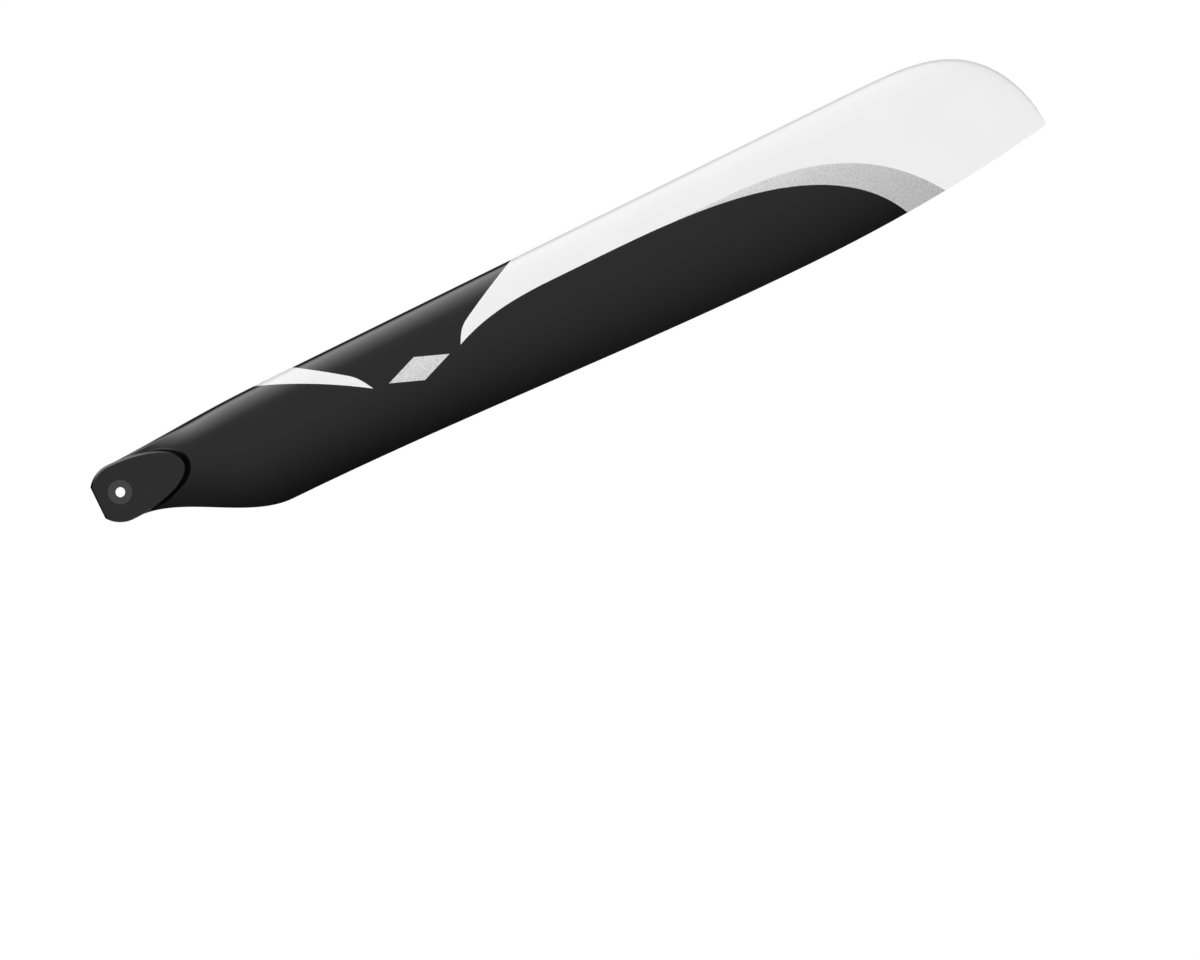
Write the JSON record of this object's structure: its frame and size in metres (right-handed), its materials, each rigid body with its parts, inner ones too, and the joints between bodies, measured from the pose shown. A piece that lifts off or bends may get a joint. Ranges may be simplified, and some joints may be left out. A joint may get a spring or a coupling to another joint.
{
  "type": "model helicopter main rotor blade",
  "caption": "Symmetrical aerofoil rotor blade for a model helicopter, with a rounded tip, a narrowed neck and a thick root block whose bushed hole takes the grip bolt.",
  "frame": {"origin": "centre of the bolt hole at mid thickness of the root block", "axes": "+X along the span to the tip, +Y to the leading edge, +Z along the bolt, out of the face with the bush's flange"},
  "size_m": [0.1999, 0.0267, 0.004],
  "materials": {
    "lacquered_blade": "moulded carbon composite under a satin black, white and silver lacquer",
    "bush_metal": "dark grey anodised"
  },
  "bodies": {
    "root": {"blade": "lacquered_blade", "bolt_bush": "bush_metal"}
  },
  "joints": []
}
